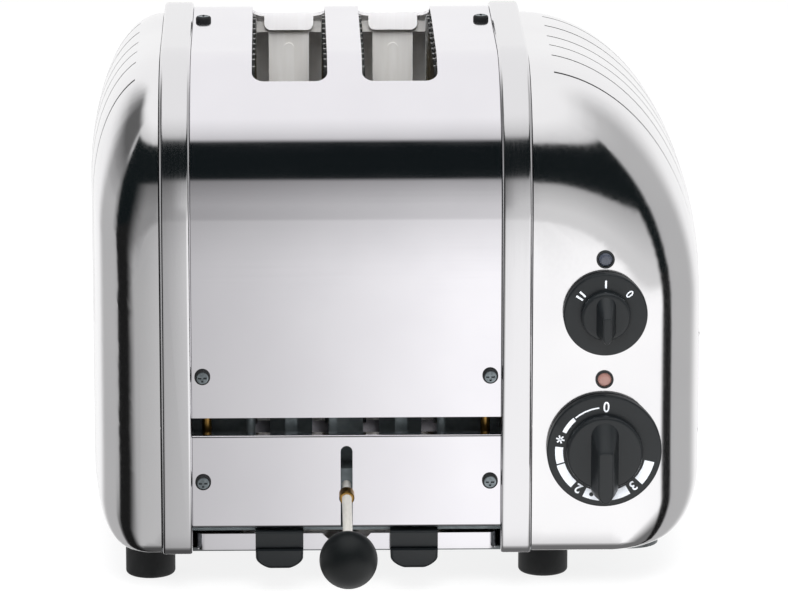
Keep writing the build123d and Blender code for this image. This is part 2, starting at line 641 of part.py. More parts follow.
def control_body(z, size, depth):
    """A switch or timer in its case, with a collar against the casting's inner wall."""
    face = -END_HALF + END_WALL + RUN_GAP
    case = block(CONTROL_X - size / 2, CONTROL_X + size / 2, face + 3, face + 3 + depth, z - size / 2, z + size / 2)
    case = fillet(case.edges().filter_by(Axis.Y), 2)
    collar = rod_y(CONTROL_X, z, face, face + 3, 2 * SHAFT + 2)
    return case + collar - rod_y(CONTROL_X, z, face - 1, face + 3, SHAFT + 2 * SHAFT_FIT)


def lamp_lens(z):
    """A small round lens with a domed face, set through the casting."""
    lens = rod_y(CONTROL_X, z, -END_HALF - 1.6, -END_HALF + END_WALL, LENS)
    return fillet(lens.edges().group_by(Axis.Y)[0], 1.5)


def lamp_bezel(z):
    ring = rod_y(CONTROL_X, z, -END_HALF, -END_HALF - 0.8, BEZEL)
    return ring - rod_y(CONTROL_X, z, -END_HALF + 1, -END_HALF - 2, LENS + 0.1)


def terminal_block():
    """The mains terminals, on the floor of the right end."""
    low = UNDERSIDE + END_WALL
    case = block(GLAND_X - 16, GLAND_X + 10, 66, 80, low, low + 14)
    for i in range(3):
        case -= rod_z(GLAND_X - 10 + 7 * i, 73, low + 8, low + 15, 4)
    return case


def cord_gland():
    """The round gland in the back of the right end, where the mains lead goes in."""
    flange = rod_y(GLAND_X, GLAND_Z, END_HALF, END_HALF + GLAND_OUT, GLAND)
    flange = fillet(flange.edges().group_by(Axis.Y)[-1], 2.0)
    neck = rod_y(GLAND_X, GLAND_Z, END_HALF - END_WALL - 3, END_HALF, GLAND_NECK)
    return flange + neck - rod_y(GLAND_X, GLAND_Z, END_HALF - END_WALL - 4, END_HALF + GLAND_OUT + 1, GLAND_BORE)


def model():
    """Every piece of the toaster by name."""
    pieces = {
        "base_plate": base_plate(),
        "left_end_casting": left_end_casting(),
        "right_end_casting": right_end_casting(),
        "left_trim_band": hoop(WRAP_LEFT - SEAM - BAND, WRAP_LEFT - SEAM),
        "right_trim_band": hoop(WRAP_RIGHT + SEAM, WRAP_RIGHT + SEAM + BAND),
        "body_wrap": body_wrap(),
        "lower_front_panel": lower_front_panel(),
        "left_chassis_wall": chassis_wall(WALL_LEFT),
        "right_chassis_wall": chassis_wall(WALL_RIGHT),
        "front_slot_plate": slot_plate(front=True),
        "rear_slot_plate": slot_plate(front=False),
        "guide_rods": guide_rods(),
        "brass_posts": brass_posts(),
        "panel_screws": panel_screws(),
        "service_cover": service_cover(),
        "service_cover_screw": cover_screw(),
        "lift_carriage": lift_carriage(),
        "left_bread_rack": bread_rack(SLOTS["left"]),
        "right_bread_rack": bread_rack(SLOTS["right"]),
        "left_lift_bush": lift_bush(GUIDES[0]),
        "right_lift_bush": lift_bush(GUIDES[1]),
        "lever_rod": lever_bar(LEVER_ROD, GUIDE_Y + 3.5, BALL_Y + 0.05),
        "lever_nut": lever_nut(),
        "lever_knob": lever_ball(),
        "crumb_tray": crumb_tray(),
        "left_tray_grip": tray_grip(MIDDLE - GRIP_SPREAD / 2),
        "right_tray_grip": tray_grip(MIDDLE + GRIP_SPREAD / 2),
        "selector_knob": selector_knob(),
        "selector_shaft": control_shaft(SELECTOR_Z),
        "selector_switch": control_body(SELECTOR_Z, SWITCH_SIZE, SWITCH_DEPTH),
        "timer_knob": timer_knob(),
        "timer_shaft": control_shaft(TIMER_Z),
        "timer_movement": control_body(TIMER_Z, TIMER_SIZE, TIMER_DEPTH),
        "upper_lamp_lens": lamp_lens(UPPER_LAMP_Z),
        "lower_lamp_lens": lamp_lens(LOWER_LAMP_Z),
        "upper_lamp_bezel": lamp_bezel(UPPER_LAMP_Z),
        "lower_lamp_bezel": lamp_bezel(LOWER_LAMP_Z),
        "terminal_block": terminal_block(),
        "cord_gland": cord_gland(),
    }
    for name, (x, y) in FEET.items():
        pieces[name] = foot(x, y)
    for name, x in BOARDS.items():
        pieces[name + "_element_board"] = element_board(x)
    pieces["left_heater_ribbon"] = heater_ribbon(BOARDS["left"], 1)
    pieces["right_heater_ribbon"] = heater_ribbon(BOARDS["right"], -1)
    pieces["centre_heater_ribbons"] = Compound([heater_ribbon(MIDDLE, side) for side in (-1, 1)])
    for slot, x in SLOTS.items():
        for side_name, side in (("outer", -1 if slot == "left" else 1), ("inner", 1 if slot == "left" else -1)):
            pieces[f"{slot}_slot_{side_name}_guard"] = bread_guard(x, side)
    return pieces


def write(pieces):
    """One STEP file for each piece, in the finished frame."""
    os.makedirs("parts", exist_ok=True)
    for name, piece in pieces.items():
        export_step(Pos(0, BODY_Y, 0) * piece, f"parts/{name}.step")


write(model())
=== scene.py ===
"""Two-slice toaster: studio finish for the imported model, seen a little from above and from its left."""
import json
import math

import bmesh
import bpy
from mathutils import Matrix, Vector


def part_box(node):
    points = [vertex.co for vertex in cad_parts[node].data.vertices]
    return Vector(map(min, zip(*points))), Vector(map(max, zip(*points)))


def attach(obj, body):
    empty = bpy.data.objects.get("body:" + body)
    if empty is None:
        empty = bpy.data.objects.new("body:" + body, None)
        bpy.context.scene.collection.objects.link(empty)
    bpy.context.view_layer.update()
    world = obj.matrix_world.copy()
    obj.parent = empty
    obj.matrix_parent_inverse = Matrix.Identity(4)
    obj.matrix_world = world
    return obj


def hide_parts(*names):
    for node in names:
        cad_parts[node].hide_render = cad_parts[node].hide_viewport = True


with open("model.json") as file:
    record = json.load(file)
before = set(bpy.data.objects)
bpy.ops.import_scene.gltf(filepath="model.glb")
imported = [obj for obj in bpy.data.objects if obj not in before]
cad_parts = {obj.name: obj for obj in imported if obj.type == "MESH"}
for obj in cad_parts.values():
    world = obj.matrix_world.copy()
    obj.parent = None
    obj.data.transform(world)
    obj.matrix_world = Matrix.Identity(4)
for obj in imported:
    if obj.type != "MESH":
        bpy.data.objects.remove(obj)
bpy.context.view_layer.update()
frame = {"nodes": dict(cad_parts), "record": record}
nodes = frame["nodes"]
bodies_of = {}
for body_name, members in frame["record"]["behaviour"]["bodies"].items():
    for member in members:
        bodies_of[member] = body_name

MM = 0.001

# Measures of the CAD pieces that the finishes go by
SKIRT = 4 * MM               # thickness of a knob's skirt
BOSS = 4 * MM                # how far its boss stands out of the skirt
FOOT_ROLL = 4 * MM           # roll along the lower edge of the castings and bands
GRIP_LIP = 5.5 * MM          # height over which a tray grip's lower corners draw in
LIP_DRAW = 0.75              # how far they draw in: 1 is a full quarter circle
TAB_LOWEST = 0.205           # the tabs at the slots' ends lie above this
CREST = 0.2                  # the screws above this stand upright
WELD = 0.000002              # corners closer than this are one
CREASE = 28.0                # degrees; a sharper edge stays sharp
ROLL_CUTS = (0.04, 0.12, 0.25, 0.42, 0.65, 1.0)    # heights cut round a lower edge, as shares of its roll

# Print on the dials
INK = 0.00006                # its thickness
LETTER_SPREAD = 0.00008      # how far the ink of a figure spreads
LETTER_SHARE = 0.7           # a figure's height as a share of its type size
SELECTOR_RING = 0.0131       # radius of the selector's figures
SELECTOR_BAR = (0.0008, 0.0033)
STAR_RING = 0.0192
STAR_ANGLE = -74
STAR_ARMS = 6
STAR_ARM = (0.0006, 0.0018)
DOT_RING = 0.0193
DOT_ANGLE = -164
DOT = 0.0009
ARC_STEP = 4                 # degrees
TIMER_ARCS = (               # inner radius, outer radius, start and stop in degrees from the top
    (0.0186, 0.0192, -40, -7),
    (0.0178, 0.0196, -64, -42),
    (0.0173, 0.0206, -105, -84),
    (0.0173, 0.0208, -138, -107),
    (0.0173, 0.0214, -182, -155),
    (0.0173, 0.0214, -211, -184),
    (0.0173, 0.0214, -257, -228),
)

# Camera: a long lens about 2.4 m away, looking 14 degrees down and just left of square
IMAGE_WIDTH = 788
SENSOR = 36.0
FOCAL_PIXELS = 5530.0
CAMERA_DISTANCE = 2.4
CAMERA_AZIMUTH = -1.2
CAMERA_ELEVATION = 14.0
AIM_HEIGHT = 0.103

# The body's own middle in depth; the frame's origin, the middle of the footprint, lies further forward
wrap_low, wrap_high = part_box("body_wrap")
BODY_MIDDLE = (wrap_low.y + wrap_high.y) / 2

# Studio, as polished metal sees it. Angles are degrees off straight ahead, heights are sines of
# elevations, and levels are amounts of light. An edge is a place and the half width of its softness.
# A ramp is two places and the levels there.
DARK_LOW = math.sin(math.radians(20))      # the dark surround starts here above a window straight ahead
DARK_HIGH = math.sin(math.radians(52))
DARK_RIGHT = (54.0, 71.0)                  # its inner and outer edges to the right and to the left
DARK_LEFT = (26.0, 64.0)
SOFT_SIDE = 3.0                            # softness of its edges, and of its inner edge on the left
SOFT_LEFT = 13.0
SOFT_HEIGHT = 0.02
SURROUND = 0.012                           # its level in the floor
SIDE_START = (70.0, 5.0)                   # edges where the side walls and the white back start
BACK_START = (130.0, 20.0)
MIDDLE_EDGE = (0.0, 1.0)                   # between the left and the right wall
RIGHT_TOP = (DARK_HIGH, 0.15)              # upper edges of the side walls
LEFT_TOP = (0.86, 0.06)
CEILING_EDGE = (0.55, 0.1)                 # between the window and the ceiling
SIDE_GREY = 0.5                            # levels of the walls
BACK_WHITE = 0.98
LEFT_FALL = (0.1, 0.55, SIDE_GREY, 0.12)   # the left wall darkens with its height
WINDOW_FALL = (0.0, DARK_LOW, 0.55, 0.33)  # the window darkens with its height, the ceiling brightens
CEILING_RISE = (DARK_HIGH, 0.95, 0.62, BACK_WHITE)
LEFT_SHARE = (-0.13, -0.06, 0.52, 0.8)     # brightness over the left and the right part of the front
RIGHT_SHARE = (-0.06, 0.03, 1.0, 1.6)
STEEPEST = 0.05                            # smallest way forward that a slope is worked out with

# Floor, in metres from the body's middle
FLOOR_SIZE = 6.0
FLOOR_CELLS = 8
FLOOR_RISE = (-1.0, -0.74, 0.55, 0.88)     # it brightens towards the toaster, and is dark just before it
FLOOR_CONTACT = (-0.16, -0.12, 1.0, 0.15)
FLAT_HALF = 0.098                          # half width of the front that is flat
CORNER_DEPTH = 0.085                       # how far before the body's middle the rounded corners lie
PAPER_WASH = 0.8                           # share of plain white in what the camera sees of the floor
PAPER_WHITE = 1.04

# The photograph's eye, off the middle and before the front: the studio's brightness from left to right
# is laid out for what the front mirrors to it
half_depth = (wrap_high.y - wrap_low.y) / 2
ground_reach = CAMERA_DISTANCE * math.cos(math.radians(CAMERA_ELEVATION))
EYE_X = ground_reach * math.sin(math.radians(CAMERA_AZIMUTH))
EYE_DEPTH = ground_reach * math.cos(math.radians(CAMERA_AZIMUTH)) - half_depth


def linear(hex_colour):
    """An sRGB hex colour as linear RGBA."""
    value = hex_colour.lstrip("#")
    channels = [int(value[i:i + 2], 16) / 255 for i in (0, 2, 4)]
    return [c / 12.92 if c <= 0.04045 else ((c + 0.055) / 1.055) ** 2.4 for c in channels] + [1.0]


def add(tree, kind, settings=None, **links):
    """One node with its settings; a link is written as an input's name or number and what feeds it."""
    node = tree.nodes.new(kind)
    for name, value in (settings or {}).items():
        if name.startswith("in_"):
            key = name[3:]
            node.inputs[int(key) if key.isdigit() else key.replace("_", " ")].default_value = value
        else:
            setattr(node, name, value)
    for name, source in links.items():
        key = name[3:] if name.startswith("to_") else name
        tree.links.new(source, node.inputs[int(key) if key.isdigit() else key.replace("_", " ")])
    return node


def calc(tree, operation, *terms):
    """One math node; each term is a number or what feeds it."""
    node = add(tree, "ShaderNodeMath", {"operation": operation})
    for place, term in enumerate(terms):
        if isinstance(term, (int, float)):
            node.inputs[place].default_value = term
        else:
            tree.links.new(term, node.inputs[place])
    return node.outputs[0]


def ramp(tree, source, start, end, low, high, shape="LINEAR"):
    """A value that runs from low to high while its source runs from start to end."""
    settings = {"interpolation_type": shape, "in_1": start, "in_2": end, "in_3": low, "in_4": high}
    return add(tree, "ShaderNodeMapRange", settings, to_0=source).outputs[0]


def below(tree, source, limit, softness):
    """1 below a limit and 0 above it, with a soft edge."""
    return ramp(tree, source, limit - softness, limit + softness, 1.0, 0.0, "SMOOTHSTEP")


def blend(tree, factor, first, second):
    """The first value where the factor is 0, the second where it is 1; numbers or what feeds them."""
    node = add(tree, "ShaderNodeMix", {"data_type": "FLOAT"}, to_0=factor)
    for place, value in ((2, first), (3, second)):
        if isinstance(value, (int, float)):
            node.inputs[place].default_value = value
        else:
            tree.links.new(value, node.inputs[place])
    return node.outputs[0]


def new_material(name, hex_colour, metallic=0.0, roughness=0.5):
    """A material with its Principled shader set to a plain start."""
    material = bpy.data.materials.new(name)
    material.use_nodes = True
    shader = material.node_tree.nodes["Principled BSDF"]
    shader.inputs["Base Color"].default_value = linear(hex_colour)
    shader.inputs["Metallic"].default_value = metallic
    shader.inputs["Roughness"].default_value = roughness
    return material, material.node_tree, shader


def object_space(tree, scale=(1, 1, 1)):
    """Object coordinates in metres, stretched by scale."""
    coordinates = add(tree, "ShaderNodeTexCoord")
    mapping = add(tree, "ShaderNodeMapping", {"in_Scale": scale}, Vector=coordinates.outputs["Object"])
    return mapping.outputs[0]


def noise(tree, scale, detail, stretch=(1, 1, 1)):
    """A noise pattern in object space."""
    settings = {"in_Scale": scale, "in_Detail": detail}
    return add(tree, "ShaderNodeTexNoise", settings, Vector=object_space(tree, stretch)).outputs[0]


def vary(tree, shader, source, low, high):
    """Roughness between two values, after a pattern."""
    tree.links.new(ramp(tree, source, 0.0, 1.0, low, high), shader.inputs["Roughness"])


def tint(tree, shader, source, first, second):
    """Base colour between two colours, after a pattern."""
    mix = add(tree, "ShaderNodeMix", {"data_type": "RGBA"}, to_0=source)
    mix.inputs[6].default_value = linear(first)
    mix.inputs[7].default_value = linear(second)
    tree.links.new(mix.outputs[2], shader.inputs["Base Color"])


def raise_bumps(tree, shader, source, height, strength=1.0):
    """Bump of a real height in metres from a pattern."""
    bump = add(tree, "ShaderNodeBump", {"in_Distance": height, "in_Strength": strength}, Height=source)
    tree.links.new(bump.outputs[0], shader.inputs["Normal"])


def stainless_sheet():
    """Polished stainless sheet: a cold near mirror, with faint polishing lines and handling marks."""
    material, tree, shader = new_material("polished_stainless", "#EDEBEF", 1.0, 0.1)
    lines = noise(tree, 1.0, 4.0, (12, 900, 900))
    smears = noise(tree, 28.0, 3.0)
    both = calc(tree, "MULTIPLY", lines, smears)
    vary(tree, shader, both, 0.05, 0.2)
    tint(tree, shader, smears, "#F0EEF2", "#E8E6EB")
    raise_bumps(tree, shader, lines, 0.000002, 0.5)
    return material


def polished_casting():
    """Hand-polished cast aluminium: bright and a little wavy from the mop, with a few fine scratches."""
    material, tree, shader = new_material("polished_cast_aluminium", "#EFEEEF", 1.0, 0.1)
    waves = noise(tree, 35.0, 1.0)
    scratches = noise(tree, 1.0, 5.0, (700, 60, 500))
    vary(tree, shader, scratches, 0.06, 0.16)
    tint(tree, shader, waves, "#F2F1F2", "#E9E8EA")
    raise_bumps(tree, shader, waves, 0.00008, 0.2)
    return material


def band_aluminium():
    """Drawn aluminium trim with a satin polish along its length."""
    material, tree, shader = new_material("satin_drawn_aluminium", "#E4E3E5", 1.0, 0.14)
    grain = noise(tree, 1.0, 3.0, (1600, 30, 30))
    vary(tree, shader, grain, 0.08, 0.2)
    raise_bumps(tree, shader, grain, 0.000003, 0.4)
    return material


def zinc_plate():
    """Zinc-plated steel: dull blue-grey, with the soft flowers of the plating."""
    material, tree, shader = new_material("zinc_plated_steel", "#8E9294", 1.0, 0.42)
    flowers = add(tree, "ShaderNodeTexVoronoi", {"in_Scale": 160.0}, Vector=object_space(tree))
    tint(tree, shader, flowers.outputs["Color"], "#7E8386", "#9DA1A3")
    vary(tree, shader, flowers.outputs["Distance"], 0.34, 0.5)
    return material


def chamber_steel():
    """Aluminised steel round the toasting chamber, straw-tinted by heat and lightly streaked."""
    material, tree, shader = new_material("aluminised_steel", "#F0EFED", 0.15, 0.5)
    streaks = noise(tree, 1.0, 4.0, (260, 260, 22))
    tint(tree, shader, streaks, "#FAF9F8", "#DEDBD6")
    vary(tree, shader, streaks, 0.4, 0.6)
    return material


def shade_darkened_steel():
    """Plated steel of the lift and the front of the chamber, painted darker all over as painted shade for the
    shadow inside the slots, with a random mottle in tone and roughness.
    """
    material, tree, shader = new_material("shade_darkened_steel", "#7F888B", 0.55, 0.45)
    mottle = noise(tree, 190.0, 4.0)
    tint(tree, shader, mottle, "#98A1A4", "#5D6568")
    vary(tree, shader, mottle, 0.36, 0.58)
    return material


def satin_fold():
    """The folded tabs at the slots' ends: left satin, so they catch the light from above."""
    material, tree, shader = new_material("satin_folded_steel", "#FBFAFB", 0.0, 0.45)
    lines = noise(tree, 1.0, 4.0, (900, 12, 12))
    tint(tree, shader, lines, "#FFFEFF", "#F6F4F5")
    return material


def pale_rod():
    """The lever's rod: brushed pale nickel."""
    material, tree, shader = new_material("brushed_nickel_rod", "#E6E3DC", 0.45, 0.38)
    lines = noise(tree, 1.0, 3.0, (1400, 60, 1400))
    tint(tree, shader, lines, "#ECEAE4", "#D2CEC5")
    return material


def plated_steel():
    """Nickel-plated steel of the small parts: smooth, with short wear marks."""
    material, tree, shader = new_material("nickel_plated_steel", "#B9BABB", 1.0, 0.22)
    wear = noise(tree, 900.0, 3.0)
    vary(tree, shader, wear, 0.14, 0.34)
    return material


def dark_zinc_screw():
    """Zinc-plated screws, patchy with dirt."""
    material, tree, shader = new_material("zinc_screw", "#8A9498", 1.0, 0.3)
    dirt = noise(tree, 700.0, 2.0)
    tint(tree, shader, dirt, "#A3ACB0", "#5C6468")
    return material


def turned_brass():
    """Turned brass: warm, with a dull bloom."""
    material, tree, shader = new_material("turned_brass", "#B38A4A", 1.0, 0.28)
    bloom = noise(tree, 500.0, 3.0)
    tint(tree, shader, bloom, "#C9A05A", "#8C6A3A")
    return material


def polished_phenolic():
    """Tumbled phenolic ball: deep black with a soft shine and faint moulding ripple."""
    material, tree, shader = new_material("black_phenolic", "#0A0D0E", 0.0, 0.4)
    ripple = noise(tree, 220.0, 2.0)
    vary(tree, shader, ripple, 0.36, 0.46)
    shader.inputs["Specular IOR Level"].default_value = 0.32
    raise_bumps(tree, shader, ripple, 0.00002, 0.3)
    return material


def black_moulding():
    """Moulded thermoplastic of the knobs and grips: near black, satin, with a fine spark-eroded grain."""
    material, tree, shader = new_material("black_moulded_abs", "#15181A", 0.0, 0.36)
    grain = noise(tree, 2600.0, 2.0)
    vary(tree, shader, grain, 0.3, 0.44)
    raise_bumps(tree, shader, grain, 0.00001, 0.35)
    return material


def black_rubber():
    """Moulded rubber: matt black, dusted grey."""
    material, tree, shader = new_material("black_rubber", "#131415", 0.0, 0.68)
    dust = noise(tree, 320.0, 4.0)
    tint(tree, shader, dust, "#0F1011", "#1F2021")
    raise_bumps(tree, shader, dust, 0.00003, 0.4)
    return material


def lamp_plastic(name, deep, pale):
    """Clear tinted lens over a dark lamp: colour that deepens towards its rim."""
    material, tree, shader = new_material(name, deep, 0.0, 0.08)
    facing = add(tree, "ShaderNodeLayerWeight", {"in_Blend": 0.35})
    tint(tree, shader, facing.outputs["Facing"], pale, deep)
    shader.inputs["Coat Weight"].default_value = 0.6
    shader.inputs["Coat Roughness"].default_value = 0.04
    return material


def white_ceramic():
    """Unglazed steatite: chalky white with grey flecks."""
    material, tree, shader = new_material("steatite", "#E2DFD6", 0.0, 0.6)
    flecks = noise(tree, 900.0, 3.0)
    tint(tree, shader, flecks, "#E8E5DD", "#C9C5BA")
    return material


def mica_board():
    """Pressed mica: brown-grey flakes in layers, some catching the light."""
    material, tree, shader = new_material("pressed_mica", "#8F8268", 0.0, 0.45)
    flakes = add(tree, "ShaderNodeTexVoronoi", {"in_Scale": 380.0}, Vector=object_space(tree))
    tint(tree, shader, flakes.outputs["Color"], "#7A6E58", "#A5987C")
    vary(tree, shader, flakes.outputs["Distance"], 0.25, 0.6)
    return material


def heater_alloy():
    """Resistance ribbon: dark oxide over bright metal, patchy from heat."""
    material, tree, shader = new_material("oxidised_resistance_alloy", "#4B443F", 1.0, 0.5)
    oxide = noise(tree, 240.0, 3.0)
    tint(tree, shader, oxide, "#39332F", "#6B625B")
    return material


def dial_print():
    """Pad-printed ink on the dials: pale grey-white, slightly uneven at its edges."""
    material, tree, shader = new_material("dial_print", "#D9DCE0", 0.0, 0.5)
    ink = noise(tree, 1500.0, 2.0)
    tint(tree, shader, ink, "#E3E6EA", "#C6CAD0")
    return material


def smooth_copy(node_name, material):
    """A welded copy of a CAD piece, shaded smooth between creases, that stands for the piece."""
    source = nodes[node_name]
    mesh = source.data.copy()
    mesh.name = node_name + "_finish"
    piece = bpy.data.objects.new(node_name + "_finish", mesh)
    bpy.context.scene.collection.objects.link(piece)
    work = bmesh.new()
    work.from_mesh(mesh)
    bmesh.ops.remove_doubles(work, verts=work.verts, dist=WELD)
    for face in work.faces:
        face.smooth = True
    for edge in work.edges:
        edge.smooth = len(edge.link_faces) == 2 and edge.calc_face_angle(0.0) < math.radians(CREASE)
    work.to_mesh(mesh)
    work.free()
    if mesh.has_custom_normals:
        with bpy.context.temp_override(object=piece, active_object=piece, selected_objects=[piece]):
            bpy.ops.mesh.customdata_custom_splitnormals_clear()
    mesh.materials.clear()
    mesh.materials.append(material)
    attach(piece, bodies_of[node_name])
    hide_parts(node_name)
    return piece


def new_piece(mesh, name, material, body):
    """A mesh as a new piece on a dial."""
    piece = bpy.data.objects.new(name, mesh)
    bpy.context.scene.collection.objects.link(piece)
    mesh.materials.append(material)
    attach(piece, body)


def finish_print(work, name, material, body):
    """Flat print gets a skin's thickness towards the front and becomes a piece."""
    bmesh.ops.recalc_face_normals(work, faces=work.faces)
    result = bmesh.ops.extrude_face_region(work, geom=work.faces[:])
    moved = [v for v in result["geom"] if isinstance(v, bmesh.types.BMVert)]
    bmesh.ops.translate(work, verts=moved, vec=(0, -INK, 0))
    bmesh.ops.recalc_face_normals(work, faces=work.faces)
    mesh = bpy.data.meshes.new(name)
    work.to_mesh(mesh)
    work.free()
    new_piece(mesh, name, material, body)


FINISHES = {
    "stainless_sheet": stainless_sheet(),
    "polished_casting": polished_casting(),
    "band_aluminium": band_aluminium(),
    "zinc_plate": zinc_plate(),
    "slot_plate_steel": chamber_steel(),
    "plated_steel": plated_steel(),
    "brass": turned_brass(),
    "black_phenolic": polished_phenolic(),
    "black_moulding": black_moulding(),
    "black_rubber": black_rubber(),
    "blue_lens": lamp_plastic("smoked_blue_lens", "#17191D", "#383C46"),
    "amber_lens": lamp_plastic("smoked_red_lens", "#3A2723", "#8F6B63"),
    "white_ceramic": white_ceramic(),
    "mica": mica_board(),
    "heater_alloy": heater_alloy(),
}
PRINT = dial_print()
SCREWS = dark_zinc_screw()
# Steel painted darker as painted shade, for the lift, the front slot plate, the guide rods and the racks that
# lie in the slots' shadow
SHADE_DARKENED_STEEL = shade_darkened_steel()
FINISH_BY_NAME = {
    "panel_screws": SCREWS, "service_cover_screw": SCREWS, "lift_carriage": SHADE_DARKENED_STEEL, "front_slot_plate": SHADE_DARKENED_STEEL,
    "guide_rods": SHADE_DARKENED_STEEL, "left_bread_rack": SHADE_DARKENED_STEEL, "right_bread_rack": SHADE_DARKENED_STEEL, "lever_rod": pale_rod(),
}


def repaint(piece, material, wanted):
    """Another finish on the faces that a test of centre and normal picks."""
    piece.data.materials.append(material)
    last = len(piece.data.materials) - 1
    for face in piece.data.polygons:
        if wanted(face.center, face.normal):
            face.material_index = last


def roll_foot(piece, radius):
    """Rounds the lower edge of a piece's front and back, from bands cut round it."""
    work = bmesh.new()
    work.from_mesh(piece.data)
    lowest = min(v.co.z for v in work.verts)
    for share in ROLL_CUTS:
        bmesh.ops.bisect_plane(work, geom=work.verts[:] + work.edges[:] + work.faces[:],
                               plane_co=(0, 0, lowest + radius * share), plane_no=(0, 0, 1))
    for vertex in work.verts:
        drop = (lowest + radius - vertex.co.z) / radius
        away = vertex.co.y - BODY_MIDDLE
        if drop > 0 and abs(away) > half_depth / 2:
            vertex.co.y -= math.copysign(radius * (1 - math.sqrt(max(0.0, 1 - drop * drop))), away)
    for face in work.faces:
        face.smooth = True
    work.to_mesh(piece.data)
    work.free()


def lean_grip(piece, narrow, drop):
    """Leans the sides of a knob's grip in to a ridge, and its upper end back to the boss."""
    low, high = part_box(piece.name.removesuffix("_finish"))
    start, rise = high.y - SKIRT - BOSS, high.y - SKIRT - BOSS - low.y
    middle = (low + high) / 2
    for vertex in piece.data.vertices:
        share = (start - vertex.co.y) / rise
        if share > 0.01:
            vertex.co.x -= (vertex.co.x - middle.x) * narrow * share
            if vertex.co.z > middle.z:
                vertex.co.z -= (vertex.co.z - middle.z) * drop * share


def round_lip(piece, height):
    """Draws in the lower corners of a tray grip."""
    spots = [v.co for v in piece.data.vertices]
    middle = (min(c.x for c in spots) + max(c.x for c in spots)) / 2
    lowest = min(c.z for c in spots)
    for spot in spots:
        drop = (lowest + height - spot.z) / height
        if drop > 0:
            spot.x = middle + (spot.x - middle) * math.sqrt(1 - (LIP_DRAW * drop) ** 2)


def inside_sheet(centre, normal):
    """The wrap's inner surface, which faces down or in towards the middle of its depth."""
    return normal.z < -0.2 or (abs(normal.y) > 0.5 and normal.y * (centre.y - BODY_MIDDLE) < 0)


def rear_tab(centre, normal):
    """The front of the tabs at the rear ends of the slots."""
    return normal.y < -0.3 and centre.z > TAB_LOWEST and centre.y > BODY_MIDDLE + half_depth / 2


def screw_side_shade(centre, normal):
    """The sides and recess walls of the panel screws, which get black as painted shade: the ones on the crest
    stand upright, the others lie along the depth.
    """
    return abs(normal.z if centre.z > CREST else normal.y) < 0.9


def cover_screw_side_shade(centre, normal):
    """The sides and recess walls of the service cover's screw, which lies along the width; they get black as
    painted shade.
    """
    return abs(normal.x) < 0.9


def dress_cad():
    """Every CAD piece gets its finish, and some a second one or a rounder form."""
    pieces = {}
    for part in frame["record"]["subparts"]:
        name = part["node"]
        pieces[name] = smooth_copy(name, FINISH_BY_NAME.get(name, FINISHES[part["material_slot"]]))
    repaint(pieces["body_wrap"], FINISHES["slot_plate_steel"], inside_sheet)
    repaint(pieces["body_wrap"], satin_fold(), rear_tab)
    # The screws' sides and recess walls are painted black: painted shade round their heads and in their
    # recesses
    repaint(pieces["panel_screws"], FINISHES["black_rubber"], screw_side_shade)
    repaint(pieces["service_cover_screw"], FINISHES["black_rubber"], cover_screw_side_shade)
    for name in ("left_end_casting", "right_end_casting", "left_trim_band", "right_trim_band"):
        roll_foot(pieces[name], FOOT_ROLL)
    lean_grip(pieces["selector_knob"], 0.5, 0.8)
    lean_grip(pieces["timer_knob"], 0.42, 0.78)
    for name in ("left_tray_grip", "right_tray_grip"):
        round_lip(pieces[name], GRIP_LIP)
    # The ball hangs further out than the real one, so polished metal would show the lever too low down
    for name in ("lever_knob", "lever_nut", "lever_rod"):
        pieces[name].visible_glossy = False


def printed_arc(work, centre, inner, outer, start, stop):
    """A flat ring sector on a dial; angles in degrees, clockwise from the top."""
    first = math.radians(start)
    spoke = Vector((math.sin(first), 0, math.cos(first)))
    ends = [work.verts.new(centre + spoke * radius) for radius in (inner, outer)]
    edge = work.edges.new(ends)
    steps = max(3, int(abs(stop - start) / ARC_STEP))
    bmesh.ops.spin(work, geom=ends + [edge], cent=centre, axis=(0, 1, 0),
                   angle=math.radians(stop - start), steps=steps, use_duplicate=False)


def on_dial(face, angle, radius, lift):
    """The place at an angle and a radius on a dial, just in front of its face, with its top to the rim."""
    turn = Matrix.Rotation(math.radians(angle), 4, "Y")
    return Matrix.Translation(face) @ turn @ Matrix.Translation((0, -lift, radius))


def printed_bar(work, place, size):
    """An upright bar of print."""
    bar = bmesh.ops.create_grid(work, x_segments=1, y_segments=1, size=0.5)
    shape = place @ UPRIGHT @ Matrix.Diagonal((*size, 1, 1))
    bmesh.ops.transform(work, matrix=shape, verts=bar["verts"])


def printed_sign(text, name, face, radius, angle, height, body, stretch=1.0):
    """A plain figure printed on a dial, its top towards the rim."""
    curve = bpy.data.curves.new(name, "FONT")
    curve.body = text
    curve.size = height / LETTER_SHARE
    curve.align_x = "CENTER"
    curve.align_y = "CENTER"
    curve.extrude = INK / 2
    curve.offset = LETTER_SPREAD
    curve.resolution_u = 4
    letter = bpy.data.objects.new(name, curve)
    bpy.context.scene.collection.objects.link(letter)
    bpy.context.view_layer.update()
    mesh = bpy.data.meshes.new_from_object(letter.evaluated_get(bpy.context.evaluated_depsgraph_get()))
    bpy.data.objects.remove(letter)
    mesh.transform(on_dial(face, angle, radius, INK / 2) @ UPRIGHT @ Matrix.Diagonal((stretch, 1, 1, 1)))
    mesh.name = name
    new_piece(mesh, name, PRINT, body)


def skirt_face(knob):
    """The middle of the front face of a knob's skirt."""
    low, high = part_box(knob)
    return Vector(((low.x + high.x) / 2, high.y - SKIRT, (low.z + high.z) / 2))


UPRIGHT = Matrix.Rotation(math.pi / 2, 4, "X")     # from flat to standing, seen from the front
SELECTOR_FACE = skirt_face("selector_knob")
TIMER_FACE = skirt_face("timer_knob")


def selector_scale():
    """Three positions, with two bars, one bar and a nought."""
    printed_sign("0", "selector_nought", SELECTOR_FACE, SELECTOR_RING, 48, 0.0034, "selector", 0.9)
    for name, angles in (("selector_one", (0,)), ("selector_two", (-56, -47))):
        bars = bmesh.new()
        for angle in angles:
            printed_bar(bars, on_dial(SELECTOR_FACE, angle, SELECTOR_RING, INK / 10), SELECTOR_BAR)
        finish_print(bars, name, PRINT, "selector")


